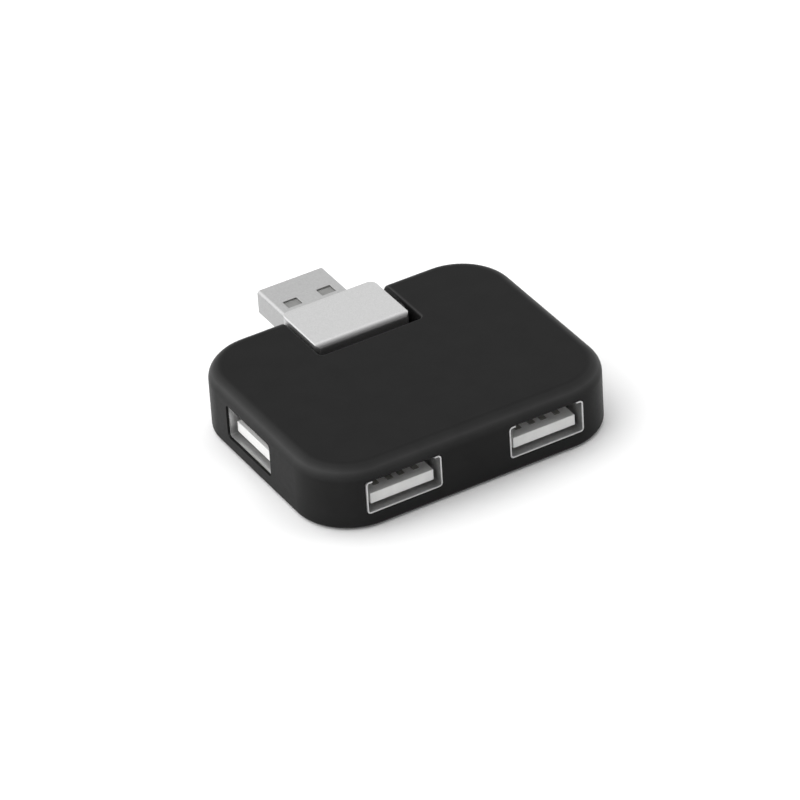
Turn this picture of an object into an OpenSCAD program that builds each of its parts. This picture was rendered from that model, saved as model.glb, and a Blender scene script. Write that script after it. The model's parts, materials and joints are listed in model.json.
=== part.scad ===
// Four-port USB hub with a folding plug, in millimetres.
// The case rests on z = 0. The origin is the middle of the case seen from above.
// Two sockets open to the front (-Y), one to each side, and the plug folds up at the back (+Y).

/* [Case] */
// Length of the case, left to right
case_l = 53.4; // [53:0.1:58]
// Depth of the case, front to back
case_w = 43; // [42.8:0.1:46]
// Height of the case
case_h = 11.2; // [11.1:0.1:12]
// Radius of the four corners seen from above
corner_r = 9.5; // [8.5:0.1:10]
// Rounding of the upper edge
top_round = 2.4; // [1.9:0.1:2.5]
// Rounding of the lower edge
bottom_round = 1; // [0.9:0.1:1.3]
// Thickness of the side walls
wall = 1.5; // [1.3:0.1:1.6]
// Thickness of the floor and the roof
roof = 1.2; // [1:0.1:1.3]

/* [Sockets] */
// Middle of the left front socket
front_left_x = -13; // [-13.1:0.05:-12]
// Middle of the right front socket
front_right_x = 12.3; // [12:0.05:13]
// Middle of the two side sockets
side_socket_y = 2.3; // [1.2:0.1:2.4]
// How far the side sockets' mouths lie behind the side faces
side_socket_inset = 0.35; // [0.2:0.05:0.6]
// Depth of a socket's metal shell
socket_depth = 14; // [13.5:0.1:14]

/* [Hinge and plug] */
// Left side of the notch that holds the hinge block
notch_left = -9.7; // [-9.8:0.1:-9.5]
// Right side of the notch
notch_right = 8.75; // [8.6:0.05:8.8]
// Front wall of the notch
notch_front = 8.9; // [8.8:0.1:9.4]
// Rounding of the notch's outer edges
notch_round = 0.45; // [0.4:0.05:0.7]
// How far the hinge block's top stands over the case
block_proud = 0.4; // [0.3:0.1:0.5]
// Width of the hinge block
block_w = 16.9; // [16.8:0.1:17]
// How far the hinge block stands out of the back of the case
block_overhang = 0.6; // [0:0.1:0.8]
// How far the plug stands out of the hinge block
plug_reach = 11.5; // [11:0.1:12]

/* [Hidden] */
$fn = 64;
eps = 0.5; // how far a cutter runs past the face that it cuts

// Case
split_z = case_h / 2;
notch_corner = 0.8;
lip_t = 0.55;
lip_h = 0.7;
lip_gap = 0.05;
lip_root = 0.01;
boss_r = 2;
screw_places = [[-22, -11], [22, -11], [-21.5, 15.5], [21.5, 15.5]];
screw_r = 1;
screw_head_r = 1.7;
screw_head_h = 1.1;
screw_head_sink = 0.3;
screw_tip_z = 9.2;
screw_clearance = 0.15;
pad_xs = [-15, 0, 15];
pad_ys = [-17, 5];
pad_r = 1;
stop_w = 6;
stop_h = 2.4;

// Sockets: USB type A receptacles
sheet_t = 0.25;
socket_w = 13.2;
socket_h = 5.72;
socket_corner = 0.6;
socket_front_inset = 0.05;
case_socket_gap = 0.12;
tongue_w = 11.1;
tongue_t = 1.85;
tongue_top = 0.1;
tongue_inset = 0.85;
tongue_len = 8.1;
tongue_block_len = 4.4;
tongue_block_end = tongue_inset + tongue_len + tongue_block_len;
contact_w = 1;
contact_t = 0.25;
contact_top = tongue_top + 0.1;
contact_start = 2.5;
contact_foot = 0.8;
contact_places = [-3.5, -1, 1, 3.5];
leg_w = 1.5;
leg_places = [3.2, 10.8];
leg_end_z = roof + 0.1;
spring_w = 2.2;
spring_len = 4.6;
spring_start = 1.6;
spring_in = 0.35;
spring_places = [-3, 3];
upper_cut_back = 0.7;
upper_corner_left = 1.15;

// Board
board_t = 1.2;
board_top = split_z - socket_h / 2;
board_gap = 0.25;
controller_y = 2.1;
controller_l = 9.9;
controller_w = 3.9;
controller_stand = 0.15;
controller_h = 1.45;
lead_pitch = 0.635;
leads_per_side = 14;
crystal_y = -4;
capacitor_place = [-15.6, 14];
fuse_place = [15.5, 9.6];
fuse_size = [4.5, 3.2, 1];
chip_row_y = 6.1;
chip_l = 1.6;
chip_w = 0.8;
row_capacitor_xs = [-7.5, -2.5, 2.5, 7.5];
row_resistor_xs = [-5, 0, 5];
crystal_capacitor_x = 8.6;

// Hinge block and plug
block_top = case_h + block_proud;
plug_z = 6.65;
block_bottom = 2 * plug_z - block_top;
block_front_y = 10.7;
block_back_y = case_w / 2 + block_overhang;
block_left = notch_left + 0.34;
block_right = block_left + block_w;
block_x = (block_left + block_right) / 2;
block_wall = 1.2;
block_room_y = 17;
block_front_round = 1;
block_front_corner = 0.9;
block_back_corner = 1.5;
block_fine_round = 0.25;
axis_y = block_front_y + 4.5;
axis_z = block_top - 3.5;
pin_r = 1.2;
sleeve_r = 1.3;
sleeve_bore_r = 0.95;
running_gap = 0.05;
flange_r = 1.7;
flange_t = 0.5;
pin_grip = 2.2;
washer_t = notch_right - block_right - 2 * running_gap;
washer_r = 2.3;
cable_r = 0.9;
cable_end_x = 3;
cable_meet_x = notch_right + wall + 1;
cable_bend_r = 2;
wire_r = 0.35;
wire_shift = 0.36;
plug_x = block_x - 0.24;
plug_w = 12.1;
plug_h = 4.4;
plug_corner = 0.55;
plug_back_y = block_room_y;
plug_tip_y = block_back_y + plug_reach;
window_w = 2.5;
window_len = 2;
window_from_tip = 5.16;
window_pitch = 6.1;
insulator_recess = 0.5;
plug_contact_w = 1.1;
plug_contact_t = 0.15;
plug_contact_end = 1.2;
wire_tail_y = axis_y - 0.9;

// ---------- shared shapes ----------

// Rectangle with round corners, centred on the origin.
module rounded_rectangle(w, h, r) {
    square([w - 2 * r, h], center = true);
    square([w, h - 2 * r], center = true);
    for (sx = [-1, 1], sy = [-1, 1])
        translate([sx * (w / 2 - r), sy * (h / 2 - r)]) circle(r);
}

// Upright section from the middle line out to reach, with a round upper and a round lower edge.
module edge_section(reach, h, upper, lower) {
    square([reach - max(upper, lower), h]);
    translate([0, lower]) square([reach, h - upper - lower]);
    translate([reach - upper, h - upper]) circle(upper);
    translate([reach - lower, lower]) circle(lower);
    square([reach - lower, lower]);
    translate([0, h - upper]) square([reach - upper, upper]);
}

// Rectangle from y = 0 up, centred in x, with its own corner radii at the bottom and the top.
module two_radius_rectangle(w, h, bottom_r, top_r) {
    translate([-w / 2, bottom_r]) square([w, h - bottom_r - top_r]);
    translate([bottom_r - w / 2, 0]) square([w - 2 * bottom_r, h / 2]);
    translate([top_r - w / 2, h / 2]) square([w - 2 * top_r, h / 2]);
    for (side = [-1, 1]) {
        translate([side * (w / 2 - bottom_r), bottom_r]) circle(bottom_r);
        translate([side * (w / 2 - top_r), h - top_r]) circle(top_r);
    }
}

// Block on z = 0, centred in x and y, with round corners and round upper and lower edges.
module rounded_block(l, w, h, corner, upper, lower) {
    // middle, full length
    translate([0, w / 2 - corner, 0])
        rotate([90, 0, 0])
            linear_extrude(w - 2 * corner) {
                edge_section(l / 2, h, upper, lower);
                mirror([1, 0]) edge_section(l / 2, h, upper, lower);
            }
    // back and front, between the corners
    translate([corner - l / 2, 0, 0])
        rotate([90, 0, 90]) linear_extrude(l - 2 * corner) edge_section(w / 2, h, upper, lower);
    translate([l / 2 - corner, 0, 0])
        rotate([90, 0, -90]) linear_extrude(l - 2 * corner) edge_section(w / 2, h, upper, lower);
    for (sx = [-1, 1], sy = [-1, 1])
        translate([sx * (l / 2 - corner), sy * (w / 2 - corner), 0])
            rotate_extrude() edge_section(corner, h, upper, lower);
}

// Round tube of solid between two points on a line parallel to x.
module rod_x(x0, x1, y, z, r) {
    translate([x0, y, z]) rotate([0, 90, 0]) cylinder(h = x1 - x0, r = r);
}

// Moves a socket from its own frame, mouth at y = 0 and open to -Y, to its place in the case.
module at_front_left() {
    translate([front_left_x, socket_front_inset - case_w / 2, split_z]) children();
}
module at_front_right() {
    translate([front_right_x, socket_front_inset - case_w / 2, split_z]) children();
}
module at_left() {
    translate([side_socket_inset - case_l / 2, side_socket_y, split_z]) rotate([0, 0, -90]) children();
}
module at_right() {
    translate([case_l / 2 - side_socket_inset, side_socket_y, split_z]) rotate([0, 0, 90]) children();
}
module at_each_socket() {
    at_front_left() children();
    at_front_right() children();
    at_left() children();
    at_right() children();
}

// ---------- case ----------

// What a round edge removes: u runs into the wall, v runs below the surface.
module edge_waste(r) {
    difference() {
        translate([-eps, -eps]) square(r + eps);
        translate([r, r]) circle(r);
    }
}

// Rounds the notch's right-hand outer edge: over the top, down the back and along the underside.
module notch_side_waste() {
    run = case_w / 2 - notch_front - notch_corner;
    translate([0, case_w / 2 - top_round, case_h])
        mirror([0, 0, 1]) rotate([90, 0, 0]) linear_extrude(run - top_round) edge_waste(notch_round);
    translate([0, case_w / 2 - top_round, case_h - top_round])
        rotate([0, 90, 0]) rotate([0, 0, 90]) rotate_extrude(angle = 90)
            translate([top_round, 0]) rotate([0, 0, 90]) edge_waste(notch_round);
    translate([0, case_w / 2, bottom_round])
        linear_extrude(case_h - top_round - bottom_round) mirror([0, 1]) edge_waste(notch_round);
    translate([0, case_w / 2 - bottom_round, bottom_round])
        rotate([0, 90, 0]) rotate_extrude(angle = 90)
            translate([bottom_round, 0]) rotate([0, 0, 90]) edge_waste(notch_round);
    translate([0, case_w / 2 - bottom_round, 0])
        rotate([90, 0, 0]) linear_extrude(run - bottom_round) edge_waste(notch_round);
}

// Rounds the notch's front edge and its two inner corners, at the upper face.
module notch_front_waste() {
    corner_y = notch_front + notch_corner;
    translate([notch_left + notch_corner, notch_front, case_h])
        mirror([0, 1, 0]) mirror([0, 0, 1]) rotate([90, 0, 90])
            linear_extrude(notch_right - notch_left - 2 * notch_corner) edge_waste(notch_round);
    for (corner = [[notch_left + notch_corner, 180], [notch_right - notch_corner, 270]])
        translate([corner[0], corner_y, case_h])
            rotate([0, 0, corner[1]]) rotate_extrude(angle = 90)
                translate([notch_corner, 0]) mirror([0, 1]) edge_waste(notch_round);
}

// The notch itself, open at the back, the top and the bottom.
module notch() {
    w = notch_right - notch_left;
    depth = case_w / 2 - notch_front + eps;
    translate([notch_left, notch_front, -eps])
        linear_extrude(case_h + 2 * eps) {
            translate([0, notch_corner]) square([w, depth - notch_corner]);
            translate([notch_corner, 0]) square([w - 2 * notch_corner, depth]);
            for (x = [notch_corner, w - notch_corner])
                translate([x, notch_corner]) circle(notch_corner);
        }
    translate([notch_right, 0, 0]) notch_side_waste();
    translate([notch_left, 0, 0]) mirror([1, 0, 0]) notch_side_waste();
    notch_front_waste();
}

// The hollow inside the case, which goes round the notch's own walls.
module case_hollow() {
    inner_corner = corner_r - wall;
    difference() {
        translate([0, 0, roof])
            rounded_block(case_l - 2 * wall, case_w - 2 * wall, case_h - 2 * roof,
                inner_corner, top_round - roof, bottom_round / 2);
        translate([notch_left - wall, notch_front - wall, 0])
            cube([notch_right - notch_left + 2 * wall, case_w, case_h]);
    }
}

// Openings in the walls for the four sockets.
module socket_openings() {
    depth = 4;
    at_each_socket()
        translate([0, depth, 0]) rotate([90, 0, 0])
            linear_extrude(depth + eps + side_socket_inset)
                rounded_rectangle(socket_w + 2 * case_socket_gap, socket_h + 2 * case_socket_gap,
                    socket_corner + case_socket_gap);
}

// Both halves of the case as one hollow body, before they are parted.
module case_body() {
    difference() {
        rounded_block(case_l, case_w, case_h, corner_r, top_round, bottom_round);
        case_hollow();
        notch();
        socket_openings();
    }
}

// A band that follows the case's outline from z0 up, between two distances in from the outside.
module outline_band(z0, h, outer_in, inner_in) {
    translate([0, 0, z0])
        linear_extrude(h) difference() {
            rounded_rectangle(case_l - 2 * outer_in, case_w - 2 * outer_in, corner_r - outer_in);
            rounded_rectangle(case_l - 2 * inner_in, case_w - 2 * inner_in, corner_r - inner_in);
        }
}

module notch_walls_keepout() {
    translate([notch_left - wall - lip_gap, notch_front, -eps])
        cube([notch_right - notch_left + 2 * (wall + lip_gap), case_w, case_h + 2 * eps]);
}

module top_shell() {
    color([0.17, 0.17, 0.18]) difference() {
        union() {
            difference() {
                case_body();
                translate([-case_l, -case_w, -eps]) cube([2 * case_l, 2 * case_w, split_z + eps]);
                difference() {
                    outline_band(split_z - eps, lip_h + lip_gap + eps, wall - lip_t - lip_gap, wall + eps);
                    notch_walls_keepout();
                }
            }
            for (place = screw_places)
                translate([place[0], place[1], split_z]) cylinder(h = case_h - roof - split_z, r = boss_r);
        }
        for (place = screw_places)
            translate([place[0], place[1], split_z - eps])
                cylinder(h = screw_tip_z - split_z + eps, r = screw_r);
        rod_x(notch_left - wall - eps, notch_left + eps, axis_y, axis_z, pin_r + running_gap);
        rod_x(notch_right - eps, notch_right + wall + eps, axis_y, axis_z, sleeve_r + running_gap);
    }
}

module bottom_shell() {
    ledge_h = board_top - board_t - roof;
    overlap = 0.2;
    color([0.15, 0.15, 0.16]) difference() {
        union() {
            difference() {
                case_body();
                translate([-case_l, -case_w, split_z]) cube([2 * case_l, 2 * case_w, case_h]);
            }
            // lip that locates the top shell
            difference() {
                outline_band(split_z - lip_root, lip_h + lip_root, wall - lip_t, wall);
                notch_walls_keepout();
                socket_openings();
            }
            // screw posts
            for (place = screw_places)
                translate([place[0], place[1], roof / 2]) cylinder(h = split_z - roof / 2, r = boss_r);
            // pads under the board
            for (x = pad_xs, y = pad_ys)
                translate([x, y, roof / 2]) cylinder(h = ledge_h + roof / 2, r = pad_r);
            // stop that the hinge block rests against when the plug is out straight
            translate([block_x - stop_w / 2, notch_front - overlap, block_bottom + block_front_round])
                cube([stop_w, block_front_y - notch_front + overlap, stop_h]);
        }
        for (place = screw_places) {
            translate([place[0], place[1], -eps])
                cylinder(h = split_z + 2 * eps, r = screw_r + screw_clearance);
            translate([place[0], place[1], -eps])
                cylinder(h = screw_head_sink + screw_head_h + eps, r = screw_head_r + screw_clearance);
        }
    }
}

// Four cross-recessed case screws, driven from below.
module case_screws() {
    cross_w = 0.4;
    cross_l = 1.9;
    cross_d = 0.6;
    color([0.55, 0.56, 0.58])
        for (place = screw_places)
            translate([place[0], place[1], screw_head_sink]) difference() {
                union() {
                    cylinder(h = screw_head_h, r = screw_head_r);
                    cylinder(h = screw_tip_z - screw_head_sink, r = screw_r);
                }
                for (turn = [0, 90])
                    rotate([0, 0, turn]) translate([-cross_l / 2, -cross_w / 2, -eps])
                        cube([cross_l, cross_w, cross_d + eps]);
            }
}

// ---------- board and its parts ----------

module main_board() {
    edge = wall + board_gap;
    color([0.07, 0.3, 0.16]) difference() {
        translate([0, 0, board_top - board_t]) linear_extrude(board_t) difference() {
            rounded_rectangle(case_l - 2 * edge, case_w - 2 * edge, corner_r - edge);
            translate([notch_left - edge, notch_front - edge])
                square([notch_right - notch_left + 2 * edge, case_w]);
            for (place = screw_places) translate(place) circle(boss_r + board_gap / 2);
        }
        at_each_socket() for (side = [-1, 1], y = leg_places)
            translate([side * (socket_w - sheet_t) / 2, y, board_top - split_z - board_t / 2])
                cube([sheet_t, leg_w, board_t + 2 * eps], center = true);
    }
}

module hub_controller() {
    color([0.1, 0.1, 0.1])
        translate([-controller_l / 2, controller_y - controller_w / 2, board_top + controller_stand])
            cube([controller_l, controller_w, controller_h]);
}

// Gull-wing leads, in two rows.
module controller_leads() {
    lead_w = 0.25;
    lead_t = 0.18;
    reach = 1.05;
    foot = 0.6;
    shoulder_z = controller_stand + controller_h / 2;
    color([0.75, 0.76, 0.78])
        for (side = [-1, 1], i = [0 : leads_per_side - 1])
            translate([(i - (leads_per_side - 1) / 2) * lead_pitch - lead_w / 2, controller_y, board_top])
                mirror([0, side < 0 ? 1 : 0, 0]) translate([0, controller_w / 2, 0]) {
                    translate([0, 0, shoulder_z]) cube([lead_w, reach - foot + lead_t, lead_t]);
                    translate([0, reach - foot, 0]) cube([lead_w, lead_t, shoulder_z + lead_t]);
                    translate([0, reach - foot, 0]) cube([lead_w, foot, lead_t]);
                }
}

module crystal() {
    can_l = 10.2;
    can_w = 3.7;
    can_h = 3.4;
    end_r = can_w / 2 - 0.01;
    rim = 0.35;
    rim_h = 0.4;
    color([0.78, 0.78, 0.8]) translate([0, crystal_y, board_top]) {
        linear_extrude(rim_h) rounded_rectangle(can_l + 2 * rim, can_w + 2 * rim, end_r + rim);
        linear_extrude(can_h) rounded_rectangle(can_l, can_w, end_r);
    }
}

module electrolytic_capacitor() {
    can_r = 2.5;
    can_h = 4.4;
    base = 5.3;
    base_h = 0.9;
    neck = 0.25;
    color([0.7, 0.71, 0.73]) translate([capacitor_place[0], capacitor_place[1], board_top]) {
        translate([-base / 2, -base / 2, 0]) cube([base, base, base_h]);
        translate([0, 0, base_h]) cylinder(h = neck, r = can_r - neck);
        translate([0, 0, base_h + neck]) cylinder(h = can_h, r = can_r);
    }
}

module chip_row(places, size) {
    for (place = places)
        translate([place[0] - size[0] / 2, place[1] - size[1] / 2, board_top]) cube(size);
}

module chip_capacitors() {
    height = 0.8;
    color([0.62, 0.5, 0.36]) {
        chip_row([for (x = row_capacitor_xs) [x, chip_row_y]], [chip_l, chip_w, height]);
        chip_row([for (side = [-1, 1]) [side * crystal_capacitor_x, crystal_y]], [chip_w, chip_l, height]);
    }
}

module chip_resistors() {
    height = 0.5;
    color([0.12, 0.12, 0.13])
        chip_row([for (x = row_resistor_xs) [x, chip_row_y]], [chip_l, chip_w, height]);
}

module resettable_fuse() {
    color([0.1, 0.22, 0.12]) translate([fuse_place[0], fuse_place[1], board_top]) cube(fuse_size);
}

// ---------- sockets ----------

// Section of the room inside a socket's sheet metal.
module socket_inside() {
    rounded_rectangle(socket_w - 2 * sheet_t, socket_h - 2 * sheet_t, socket_corner - sheet_t);
}

// Legs that pass through the board, in the socket's own frame.
module socket_legs() {
    leg_h = split_z - leg_end_z - socket_h / 2 + socket_corner;
    for (side = [-1, 1], y = leg_places)
        translate([side * (socket_w - sheet_t) / 2 - sheet_t / 2, y - leg_w / 2, leg_end_z - split_z])
            cube([sheet_t, leg_w, leg_h]);
}

// Contact springs pressed inwards from the upper sheet.
module socket_springs() {
    lean = asin(spring_in / spring_len);
    slit = 0.15;
    root = 0.05;
    thinned_t = 0.7 * sheet_t;
    for (x = spring_places)
        translate([x - spring_w / 2 + slit, spring_start + spring_len + root, socket_h / 2 - sheet_t])
            rotate([lean, 0, 0]) translate([0, -spring_len, 0])
                cube([spring_w - 2 * slit, spring_len, thinned_t]);
}

module socket_shell() {
    color([0.74, 0.75, 0.77]) {
        difference() {
            translate([0, socket_depth, 0]) rotate([90, 0, 0])
                linear_extrude(socket_depth) difference() {
                    rounded_rectangle(socket_w, socket_h, socket_corner);
                    socket_inside();
                }
            for (x = spring_places)
                translate([x - spring_w / 2, spring_start, socket_h / 2 - sheet_t - eps])
                    cube([spring_w, spring_len, 2 * eps + sheet_t]);
            // the upper sheet is cut back between the mouth's two upper corners
            translate([upper_corner_left - socket_w / 2, -eps, socket_h / 2 - sheet_t - eps])
                cube([socket_w - 2 * upper_corner_left, upper_cut_back + eps, 2 * eps + sheet_t]);
            // the lower sheet ends where the contacts turn down to the board
            translate([socket_corner - socket_w / 2, tongue_block_end, -socket_h / 2 - eps])
                cube([socket_w - 2 * socket_corner, socket_depth, 2 * eps + sheet_t]);
        }
        socket_springs();
        socket_legs();
    }
}

module contact_slots() {
    for (x = contact_places)
        translate([x - contact_w / 2, contact_start, contact_top - contact_t])
            cube([contact_w, socket_depth, contact_t]);
}

module socket_tongue() {
    color([0.93, 0.93, 0.91]) difference() {
        union() {
            translate([-tongue_w / 2, tongue_inset, tongue_top - tongue_t])
                cube([tongue_w, tongue_len + eps, tongue_t]);
            translate([0, tongue_block_end, 0]) rotate([90, 0, 0])
                linear_extrude(tongue_block_len) socket_inside();
        }
        contact_slots();
    }
}

module socket_contacts() {
    color([0.7, 0.68, 0.62])
        for (x = contact_places) translate([x - contact_w / 2, 0, 0]) {
            translate([0, contact_start, contact_top - contact_t])
                cube([contact_w, tongue_block_end + contact_t - contact_start, contact_t]);
            translate([0, tongue_block_end, -socket_h / 2]) {
                cube([contact_w, contact_t, socket_h / 2 + contact_top]);
                cube([contact_w, contact_foot, contact_t]);
            }
        }
}

// ---------- hinge ----------

module hinge_room() {
    translate([block_left + block_wall, block_front_y + block_wall, block_bottom + block_wall])
        cube([block_w - 2 * block_wall, block_room_y - block_front_y - block_wall,
            block_top - block_bottom - 2 * block_wall]);
}

module plug_space() {
    translate([plug_x, block_back_y + eps, plug_z]) rotate([90, 0, 0])
        linear_extrude(block_back_y + eps - plug_back_y) rounded_rectangle(plug_w, plug_h, plug_corner);
}

// The block's outside, where three profiles cross: from above, from the side and from the back.
module block_outside() {
    depth = block_back_y - block_front_y;
    height = block_top - block_bottom;
    intersection() {
        translate([block_x, block_front_y, block_bottom - eps])
            linear_extrude(height + 2 * eps)
                two_radius_rectangle(block_w, depth, block_front_corner, block_back_corner);
        translate([block_right + eps, block_front_y, plug_z])
            rotate([0, -90, 0]) linear_extrude(block_w + 2 * eps)
                two_radius_rectangle(height, depth, block_front_round, block_fine_round);
        translate([block_x, block_back_y + eps, plug_z])
            rotate([90, 0, 0]) linear_extrude(depth + 2 * eps)
                rounded_rectangle(block_w, height, block_fine_round);
    }
}

module hinge_block() {
    difference() {
        block_outside();
        hinge_room();
        plug_space();
        rod_x(block_left - eps, block_left + pin_grip, axis_y, axis_z, pin_r);
        rod_x(block_right - pin_grip, block_right + eps, axis_y, axis_z, sleeve_r);
    }
}

module hinge_block_cover() {
    color([0.8, 0.81, 0.82]) difference() {
        hinge_block();
        translate([-case_l / 2, 0, -eps]) cube([case_l, case_w, split_z + eps]);
    }
}

module hinge_block_base() {
    color([0.76, 0.77, 0.78]) difference() {
        hinge_block();
        translate([-case_l / 2, 0, split_z]) cube([case_l, case_w, case_h]);
    }
}

// Solid pin on the left, with its head inside the case.
module hinge_pin() {
    head_x = notch_left - wall - running_gap;
    color([0.7, 0.7, 0.72]) {
        rod_x(head_x - flange_t, head_x, axis_y, axis_z, flange_r);
        rod_x(head_x - flange_t, block_left + pin_grip, axis_y, axis_z, pin_r);
    }
}

// Hollow pin on the right, which the cable runs through.
module hinge_sleeve() {
    head_x = notch_right + wall + running_gap;
    color([0.8, 0.68, 0.4]) difference() {
        union() {
            rod_x(head_x, head_x + flange_t, axis_y, axis_z, flange_r);
            rod_x(block_right - pin_grip, head_x + flange_t, axis_y, axis_z, sleeve_r);
        }
        rod_x(block_right - pin_grip - eps, head_x + flange_t + eps, axis_y, axis_z, sleeve_bore_r);
    }
}

module friction_washer() {
    x = notch_right - running_gap - washer_t;
    color([0.2, 0.2, 0.2]) difference() {
        rod_x(x, x + washer_t, axis_y, axis_z, washer_r);
        rod_x(x - eps, x + washer_t + eps, axis_y, axis_z, sleeve_r + running_gap);
    }
}

// Round cable on the hinge's own axis, so that folding only twists it.
module hinge_cable() {
    color([0.08, 0.08, 0.08]) rod_x(cable_end_x, cable_meet_x, axis_y, axis_z, cable_r);
}

module case_cable() {
    straight = 1.5;
    bend_x = cable_meet_x + straight;
    color([0.08, 0.08, 0.08]) {
        rod_x(cable_meet_x, bend_x, axis_y, axis_z, cable_r);
        translate([bend_x, axis_y, axis_z - cable_bend_r]) rotate([90, 0, 0])
            rotate_extrude(angle = 90) translate([cable_bend_r, 0]) circle(cable_r);
        translate([bend_x + cable_bend_r, axis_y, board_top])
            cylinder(h = axis_z - cable_bend_r - board_top, r = cable_r);
    }
}

// ---------- plug ----------

// Four wires from the cable's end, each down to its own contact.
module plug_wires() {
    // the two lower wires go to the near contacts, and the two upper wires pass over them
    color([0.7, 0.15, 0.12])
        for (i = [0 : 3]) {
            x = plug_x + contact_places[3 - i];
            y = axis_y + (i % 2 == 0 ? -wire_shift : wire_shift);
            z = axis_z + (i < 2 ? -wire_shift : wire_shift);
            rod_x(x, cable_end_x, y, z, wire_r);
            translate([x, y, z]) sphere(wire_r);
            translate([x, y, plug_z]) cylinder(h = z - plug_z, r = wire_r);
        }
}

module plug_shell() {
    length = plug_tip_y - plug_back_y;
    window_y = plug_tip_y - window_from_tip - window_len;
    color([0.8, 0.8, 0.81]) difference() {
        translate([plug_x, plug_tip_y, plug_z]) rotate([90, 0, 0])
            linear_extrude(length) difference() {
                rounded_rectangle(plug_w, plug_h, plug_corner);
                rounded_rectangle(plug_w - 2 * sheet_t, plug_h - 2 * sheet_t, plug_corner - sheet_t);
            }
        for (side = [-1, 1])
            translate([plug_x + side * window_pitch / 2 - window_w / 2, window_y, plug_z - plug_h])
                cube([window_w, window_len, 2 * plug_h]);
    }
}

// Contacts along the insulator's lower face, back to the wires.
module plug_contact_strip() {
    for (x = contact_places)
        translate([plug_x + x - plug_contact_w / 2, wire_tail_y, plug_z - plug_contact_t])
            cube([plug_contact_w, plug_tip_y - plug_contact_end - wire_tail_y, plug_contact_t]);
}

// Fills the upper half of the plug's shell, and all of it inside the hinge block.
module plug_insulator() {
    inner_h = plug_h - 2 * sheet_t;
    collar_end = block_back_y - 1;
    color([0.9, 0.9, 0.9]) difference() {
        translate([plug_x, plug_tip_y - insulator_recess, plug_z]) rotate([90, 0, 0])
            linear_extrude(plug_tip_y - insulator_recess - plug_back_y)
                rounded_rectangle(plug_w - 2 * sheet_t, inner_h, plug_corner - sheet_t);
        translate([plug_x - plug_w / 2, collar_end, plug_z - plug_h]) cube([plug_w, plug_tip_y, plug_h]);
        plug_contact_strip();
    }
}

module plug_contacts() {
    color([0.7, 0.68, 0.62]) plug_contact_strip();
}

top_shell();
bottom_shell();
case_screws();
main_board();
hub_controller();
controller_leads();
crystal();
electrolytic_capacitor();
chip_capacitors();
chip_resistors();
resettable_fuse();
at_front_left() socket_shell();  // front_left_socket_shell
at_front_left() socket_tongue();  // front_left_socket_tongue
at_front_left() socket_contacts();  // front_left_socket_contacts
at_front_right() socket_shell();  // front_right_socket_shell
at_front_right() socket_tongue();  // front_right_socket_tongue
at_front_right() socket_contacts();  // front_right_socket_contacts
at_left() socket_shell();  // left_socket_shell
at_left() socket_tongue();  // left_socket_tongue
at_left() socket_contacts();  // left_socket_contacts
at_right() socket_shell();  // right_socket_shell
at_right() socket_tongue();  // right_socket_tongue
at_right() socket_contacts();  // right_socket_contacts
friction_washer();
case_cable();
hinge_block_cover();
hinge_block_base();
hinge_pin();
hinge_sleeve();
hinge_cable();
plug_wires();
plug_shell();
plug_insulator();
plug_contacts();
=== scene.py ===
"""Looks of a four-port USB hub with a folding plug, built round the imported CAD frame.

Everything is in metres in the frame's own axes: +X right, +Y towards the plug, +Z up.
"""

import json
import math

import bpy
from mathutils import Matrix, Vector

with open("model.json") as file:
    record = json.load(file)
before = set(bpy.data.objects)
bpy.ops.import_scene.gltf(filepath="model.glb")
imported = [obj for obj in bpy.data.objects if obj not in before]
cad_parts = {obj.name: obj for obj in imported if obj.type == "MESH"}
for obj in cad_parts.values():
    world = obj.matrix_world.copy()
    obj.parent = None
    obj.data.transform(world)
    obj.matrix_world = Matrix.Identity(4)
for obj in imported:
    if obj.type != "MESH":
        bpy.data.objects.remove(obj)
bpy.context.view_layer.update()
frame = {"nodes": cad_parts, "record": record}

MM = 0.001


# ---------- materials ----------

# Noise mostly lies between these two values.
NOISE_LOW = 0.3
NOISE_HIGH = 0.7


class Shader:
    """A material's node tree, with short ways to add and link nodes."""

    def __init__(self, name):
        self.material = bpy.data.materials.new(name)
        self.material.use_nodes = True
        self.tree = self.material.node_tree
        self.surface = self.tree.nodes["Principled BSDF"]
        self.place = self.tree.nodes.new("ShaderNodeTexCoord").outputs["Object"]

    def node(self, kind, **settings):
        made = self.tree.nodes.new(kind)
        for key, value in settings.items():
            setattr(made, key, value)
        return made

    def link(self, source, target):
        self.tree.links.new(source, target)

    def set(self, **values):
        for key, value in values.items():
            self.surface.inputs[key.replace("_", " ")].default_value = value

    def noise(self, grain, detail=2):
        """Noise whose grains are about this many metres across."""
        noise = self.node("ShaderNodeTexNoise")
        noise.inputs["Scale"].default_value = 1 / grain
        noise.inputs["Detail"].default_value = detail
        self.link(self.place, noise.inputs["Vector"])
        return noise.outputs["Fac"]

    def spread(self, value, low, high):
        """Maps noise to the range from low to high."""
        ramp = self.node("ShaderNodeMapRange")
        ramp.inputs["From Min"].default_value = NOISE_LOW
        ramp.inputs["From Max"].default_value = NOISE_HIGH
        ramp.inputs["To Min"].default_value = low
        ramp.inputs["To Max"].default_value = high
        self.link(value, ramp.inputs["Value"])
        return ramp.outputs["Result"]

    def colour(self, value, dark, light):
        """A colour between dark and light, by a noise value."""
        mix = self.node("ShaderNodeMix", data_type="RGBA")
        mix.inputs["A"].default_value = (*dark, 1)
        mix.inputs["B"].default_value = (*light, 1)
        self.link(self.spread(value, 0, 1), mix.inputs["Factor"])
        self.link(mix.outputs["Result"], self.surface.inputs["Base Color"])

    def roughness(self, value, low, high):
        self.link(self.spread(value, low, high), self.surface.inputs["Roughness"])

    def bump(self, value, depth):
        """Bumps of this depth, in metres."""
        bump = self.node("ShaderNodeBump")
        bump.inputs["Distance"].default_value = depth
        self.link(value, bump.inputs["Height"])
        self.link(bump.outputs["Normal"], self.surface.inputs["Normal"])


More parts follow.
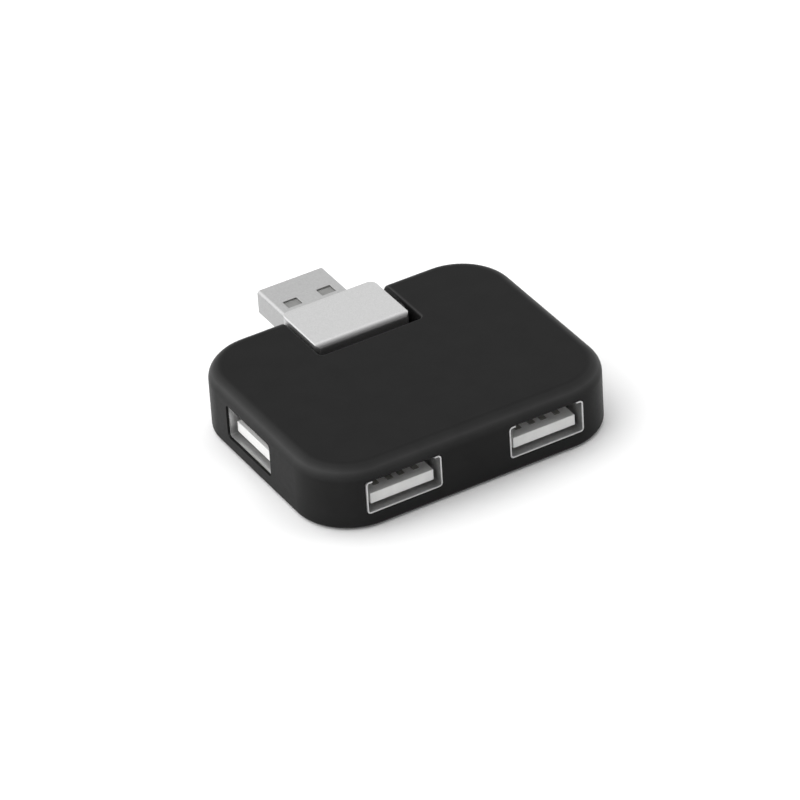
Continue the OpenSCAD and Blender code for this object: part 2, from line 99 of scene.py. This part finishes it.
def grey(level):
    return (level, level, level)


# Painted light on the rubber: how light its colour is where its surface faces this much upwards, so the
# top and sides carry painted shading, with a painted highlight lightest on the rounded edges.
RUBBER_PAINTED_LIGHT = (
    (0.0, 0.0171),
    (0.17, 0.0238),
    (0.34, 0.0293),
    (0.50, 0.0381),
    (0.64, 0.0465),
    (0.77, 0.0343),
    (0.87, 0.0256),
    (0.94, 0.0210),
    (1.0, 0.0112),
)
RUBBER_GRAIN = 0.09 * MM
RUBBER_GRAIN_DEPTH = 0.0025 * MM
RUBBER_ROUGHNESS = (0.37, 0.43)
RUBBER_CLOUDS = (0.94, 1.06)
RUBBER_CLOUD_SIZE = 4 * MM


def soft_touch():
    """Black rubber-like coating: very matt, with a fine grain; its colour carries painted shading by
    which way the surface faces, and a painted highlight on the rounded edges.
    """
    s = Shader("soft_touch")
    s.roughness(s.noise(0.6 * MM, 3), *RUBBER_ROUGHNESS)
    s.bump(s.noise(RUBBER_GRAIN), RUBBER_GRAIN_DEPTH)
    s.set(Specular_IOR_Level=0.04)
    # the normal's upward part is 1 on top and 0 on the sides; the ramp below paints light and shade into
    # the colour by it, with a painted highlight on the rounded edges
    geometry = s.node("ShaderNodeNewGeometry")
    split = s.node("ShaderNodeSeparateXYZ")
    s.link(geometry.outputs["Normal"], split.inputs["Vector"])
    ramp = s.node("ShaderNodeValToRGB")
    stops = ramp.color_ramp.elements
    while len(stops) < len(RUBBER_PAINTED_LIGHT):
        stops.new(1.0)
    for stop, (upward, shade) in zip(stops, RUBBER_PAINTED_LIGHT):
        stop.position = upward
        stop.color = (*grey(shade), 1)
    s.link(split.outputs["Z"], ramp.inputs["Fac"])
    cloud = s.node("ShaderNodeMix", data_type="RGBA", blend_type="MULTIPLY")
    cloud.inputs["Factor"].default_value = 1.0
    s.link(ramp.outputs["Color"], cloud.inputs["A"])
    s.link(s.spread(s.noise(RUBBER_CLOUD_SIZE, 3), *RUBBER_CLOUDS), cloud.inputs["B"])
    s.link(cloud.outputs["Result"], s.surface.inputs["Base Color"])
    return s.material


# How deep the grain of moulded, painted and plated surfaces is.
GRAIN_DEPTH = 0.003 * MM
# How much a surface's roughness falls and rises in spots.
DULLER_SPOTS = (0.85, 1.15)


def silver_paint():
    """Silver metallic paint: flakes sparkle a little."""
    s = Shader("silver_paint")
    s.colour(s.noise(0.16 * MM, 1), grey(0.455), grey(0.51))
    s.roughness(s.noise(0.3 * MM), 0.36, 0.46)
    s.bump(s.noise(0.1 * MM, 1), GRAIN_DEPTH)
    s.set(Metallic=0.9)
    return s.material


def plated_steel(name, dark, light, rough, metallic):
    """Satin plated sheet with a fine grain."""
    s = Shader(name)
    s.colour(s.noise(0.35 * MM, 3), grey(dark), grey(light))
    s.roughness(s.noise(0.25 * MM, 3), rough * DULLER_SPOTS[0], rough * DULLER_SPOTS[1])
    s.bump(s.noise(0.08 * MM), 0.002 * MM)
    s.set(Metallic=metallic)
    return s.material


def moulded_plastic(name, dark, light):
    """Pale satin plastic that light enters a little."""
    s = Shader(name)
    s.colour(s.noise(1.5 * MM), dark, light)
    s.roughness(s.noise(0.4 * MM), 0.4, 0.5)
    s.bump(s.noise(0.15 * MM), GRAIN_DEPTH)
    s.set(Subsurface_Weight=0.3, Subsurface_Radius=(MM, MM, MM), Subsurface_Scale=0.5)
    return s.material


def plain(name, dark, light, rough, metallic=0.0, grain=0.3 * MM):
    """A moulded, painted or plated surface with slight unevenness."""
    s = Shader(name)
    s.colour(s.noise(grain * 4, 3), dark, light)
    s.roughness(s.noise(grain), rough * DULLER_SPOTS[0], rough * DULLER_SPOTS[1])
    s.bump(s.noise(grain / 2), GRAIN_DEPTH)
    s.set(Metallic=metallic)
    return s.material


MATERIALS = {
    "soft_touch_black": soft_touch(),
    "silver_paint": silver_paint(),
    "plug_steel": plated_steel("plug_steel", 0.355, 0.40, 0.36, 0.85),
    "socket_steel": plated_steel("socket_steel", 0.48, 0.55, 0.40, 0.85),
    "white_plastic": moulded_plastic("white_plastic", (0.75, 0.75, 0.74), (0.79, 0.79, 0.78)),
    "contact_nickel": plain("contact_nickel", (0.34, 0.33, 0.31), (0.42, 0.41, 0.39), 0.5, 0.5),
    "circuit_board": plain("circuit_board", (0.01, 0.07, 0.03), (0.015, 0.09, 0.04), 0.35),
    "chip_black": plain("chip_black", grey(0.012), grey(0.018), 0.55),
    "tinned_leads": plain("tinned_leads", grey(0.5), grey(0.6), 0.3, 1.0, 0.15 * MM),
    "crystal_can": plain("crystal_can", grey(0.5), grey(0.6), 0.25, 1.0),
    "capacitor_can": plain("capacitor_can", grey(0.5), grey(0.58), 0.4, 1.0),
    "ceramic_chip": plain("ceramic_chip", (0.28, 0.17, 0.09), (0.36, 0.23, 0.12), 0.5),
    "fuse_green": plain("fuse_green", (0.01, 0.04, 0.015), (0.015, 0.05, 0.02), 0.45),
    "washer_nylon": plain("washer_nylon", grey(0.01), grey(0.014), 0.5),
    "cable_jacket": plain("cable_jacket", grey(0.012), grey(0.016), 0.55),
    "wire_insulation": plain("wire_insulation", (0.3, 0.02, 0.015), (0.36, 0.03, 0.02), 0.4),
    "pin_steel": plain("pin_steel", grey(0.45), grey(0.55), 0.3, 1.0),
    "sleeve_brass": plain("sleeve_brass", (0.5, 0.36, 0.14), (0.6, 0.44, 0.18), 0.3, 1.0),
    "screw_steel": plain("screw_steel", grey(0.16), grey(0.22), 0.35, 1.0),
}


# The plug's insulator is coloured a darker grey than the sockets' tongues.
OWN_MATERIALS = {
    "plug_insulator": moulded_plastic("grey_plastic", (0.17, 0.17, 0.165), (0.20, 0.20, 0.195)),
}


# ---------- CAD nodes: finish and softened edges ----------

# How far each kind of part's sharp edges are softened, by material slot; the rest stay as cut.
EDGE_SOFTENING = {
    "silver_paint": 0.10 * MM,
    "plug_steel": 0.09 * MM,
    "socket_steel": 0.05 * MM,
    "white_plastic": 0.10 * MM,
    "chip_black": 0.06 * MM,
    "crystal_can": 0.20 * MM,
    "capacitor_can": 0.10 * MM,
    "screw_steel": 0.05 * MM,
}
SHARP_ANGLE = math.radians(28)
FLAT_ANGLE = math.radians(0.2)
EDGE_SEGMENTS = 3
WELD_DISTANCE = 0.0005 * MM


def weld_points(node, name):
    """Joins points that lie in the same place, so that no empty face is left between them."""
    weld = node.modifiers.new(name, "WELD")
    weld.merge_threshold = WELD_DISTANCE


def soften_edges(node, width):
    """Joins the flat faces, then rounds every sharp edge by this width."""
    flats = node.modifiers.new("flats", "DECIMATE")
    flats.decimate_type = "DISSOLVE"
    flats.angle_limit = FLAT_ANGLE
    bevel = node.modifiers.new("bevel", "BEVEL")
    bevel.width = width
    bevel.segments = EDGE_SEGMENTS
    bevel.limit_method = "ANGLE"
    bevel.angle_limit = SHARP_ANGLE
    bevel.miter_outer = "MITER_ARC"
    weld_points(node, "clean")


def finish_cad_node(name, slot):
    """Gives a CAD node its material and smooth shading, and leaves its mesh as it is."""
    node = frame["nodes"][name]
    node.data.materials.clear()
    node.data.materials.append(OWN_MATERIALS.get(name, MATERIALS[slot]))
    node.data.shade_smooth()
    weld_points(node, "weld")
    if slot in EDGE_SOFTENING:
        soften_edges(node, EDGE_SOFTENING[slot])
    edges = node.modifiers.new("edges", "EDGE_SPLIT")
    edges.split_angle = SHARP_ANGLE
    normals = node.modifiers.new("normals", "WEIGHTED_NORMAL")
    normals.keep_sharp = True


for part in frame["record"]["subparts"]:
    finish_cad_node(part["node"], part["material_slot"])


# ---------- stage, light and camera ----------

# where the camera is, seen from the origin: metres, then degrees; the lens is in millimetres
CAMERA_DISTANCE = 0.830
CAMERA_AZIMUTH = -28.785
CAMERA_ELEVATION = 34.507
CAMERA_ROLL = -3.656
CAMERA_LENS = 240.8
CAMERA_NEAR = 0.05
CAMERA_FAR = 20
# the point that the camera looks at, to the right of and above the origin as the camera sees it
AIM_RIGHT = -1.186 * MM
AIM_UP = 3.228 * MM


def camera_axes():
    """The camera's right, up and back directions, its roll included."""
    azimuth = math.radians(CAMERA_AZIMUTH)
    elevation = math.radians(CAMERA_ELEVATION)
    roll = math.radians(CAMERA_ROLL)
    back = Vector(
        (
            math.sin(azimuth) * math.cos(elevation),
            -math.cos(azimuth) * math.cos(elevation),
            math.sin(elevation),
        )
    )
    level = Vector((0, 0, 1)).cross(back).normalized()
    up = back.cross(level)
    right = math.cos(roll) * level + math.sin(roll) * up
    return right, back.cross(right), back


def make_camera():
    right, up, back = camera_axes()
    data = bpy.data.cameras.new("camera")
    data.lens = CAMERA_LENS
    data.clip_start = CAMERA_NEAR
    data.clip_end = CAMERA_FAR
    camera = bpy.data.objects.new("camera", data)
    bpy.context.scene.collection.objects.link(camera)
    position = back * CAMERA_DISTANCE
    look_back = (position - right * AIM_RIGHT - up * AIM_UP).normalized()
    look_right = up.cross(look_back).normalized()
    look_up = look_back.cross(look_right)
    turn = Matrix((look_right, look_up, look_back)).transposed().to_4x4()
    camera.matrix_world = Matrix.Translation(position) @ turn
    bpy.context.scene.camera = camera


FLOOR_HALF = 3.0
FLOOR_DEPTH = 0.02 * MM
# light that leaves the underside passes through the floor within this distance
FLOOR_REACH = 0.5 * MM


def make_floor():
    """A pale floor just below the hub. From below, the hub is seen and lit through it."""
    near, far = -FLOOR_HALF, FLOOR_HALF
    mesh = bpy.data.meshes.new("floor")
    mesh.from_pydata([(near, near, 0), (far, near, 0), (far, far, 0), (near, far, 0)], [], [(0, 1, 2, 3)])
    floor = bpy.data.objects.new("floor", mesh)
    floor.location.z = -FLOOR_DEPTH
    bpy.context.scene.collection.objects.link(floor)
    s = Shader("floor")
    s.colour(s.noise(300 * MM), grey(0.97), grey(0.98))
    s.set(Roughness=0.9, Specular_IOR_Level=0.1)
    from_below = s.node("ShaderNodeNewGeometry").outputs["Backfacing"]
    from_underside = s.node("ShaderNodeMath", operation="LESS_THAN")
    s.link(s.node("ShaderNodeLightPath").outputs["Ray Length"], from_underside.inputs[0])
    from_underside.inputs[1].default_value = FLOOR_REACH
    open_floor = s.node("ShaderNodeMath", operation="MAXIMUM")
    s.link(from_below, open_floor.inputs[0])
    s.link(from_underside.outputs["Value"], open_floor.inputs[1])
    one_sided = s.node("ShaderNodeMixShader")
    s.link(open_floor.outputs["Value"], one_sided.inputs[0])
    s.link(s.surface.outputs["BSDF"], one_sided.inputs[1])
    s.link(s.node("ShaderNodeBsdfTransparent").outputs["BSDF"], one_sided.inputs[2])
    s.link(one_sided.outputs["Shader"], s.tree.nodes["Material Output"].inputs["Surface"])
    mesh.materials.append(s.material)


# Soft light: a weak even sky, and patches of brighter sky to the back left, right and, for
# views from under the floor, below. Each patch has a direction, the cosines to that direction
# where it starts and where it is full, and its radiance.
SKY_BASE = 0.18
SKY_PATCHES = (
    ((-0.8, 0.45, 0.8), 0.3, 0.85, 1.7),
    ((-0.6, 0.72, 0.4), 0.6, 0.92, 0.32),
    ((1.0, 0.3, 0.6), 0.5, 0.9, 1.2),
    ((0.0, 0.0, -1.0), 0.0, 0.2, 0.9),
)


def make_sky():
    world = bpy.data.worlds.new("studio")
    world.use_nodes = True
    tree = world.node_tree
    direction = tree.nodes.new("ShaderNodeTexCoord").outputs["Generated"]
    total = tree.nodes.new("ShaderNodeValue").outputs["Value"]
    total.default_value = SKY_BASE
    for towards, start, full, radiance in SKY_PATCHES:
        cosine = tree.nodes.new("ShaderNodeVectorMath")
        cosine.operation = "DOT_PRODUCT"
        cosine.inputs[1].default_value = Vector(towards).normalized()
        tree.links.new(direction, cosine.inputs[0])
        patch = tree.nodes.new("ShaderNodeMapRange")
        patch.interpolation_type = "SMOOTHSTEP"
        patch.inputs["From Min"].default_value = start
        patch.inputs["From Max"].default_value = full
        patch.inputs["To Max"].default_value = radiance
        tree.links.new(cosine.outputs["Value"], patch.inputs["Value"])
        both = tree.nodes.new("ShaderNodeMath")
        both.operation = "ADD"
        tree.links.new(total, both.inputs[0])
        tree.links.new(patch.outputs["Result"], both.inputs[1])
        total = both.outputs["Value"]
    tree.links.new(total, tree.nodes["Background"].inputs["Strength"])
    tree.nodes["Background"].inputs["Color"].default_value = (*grey(1), 1)
    bpy.context.scene.world = world


make_floor()
make_sky()
make_camera()
bpy.context.scene.view_settings.view_transform = "Standard"
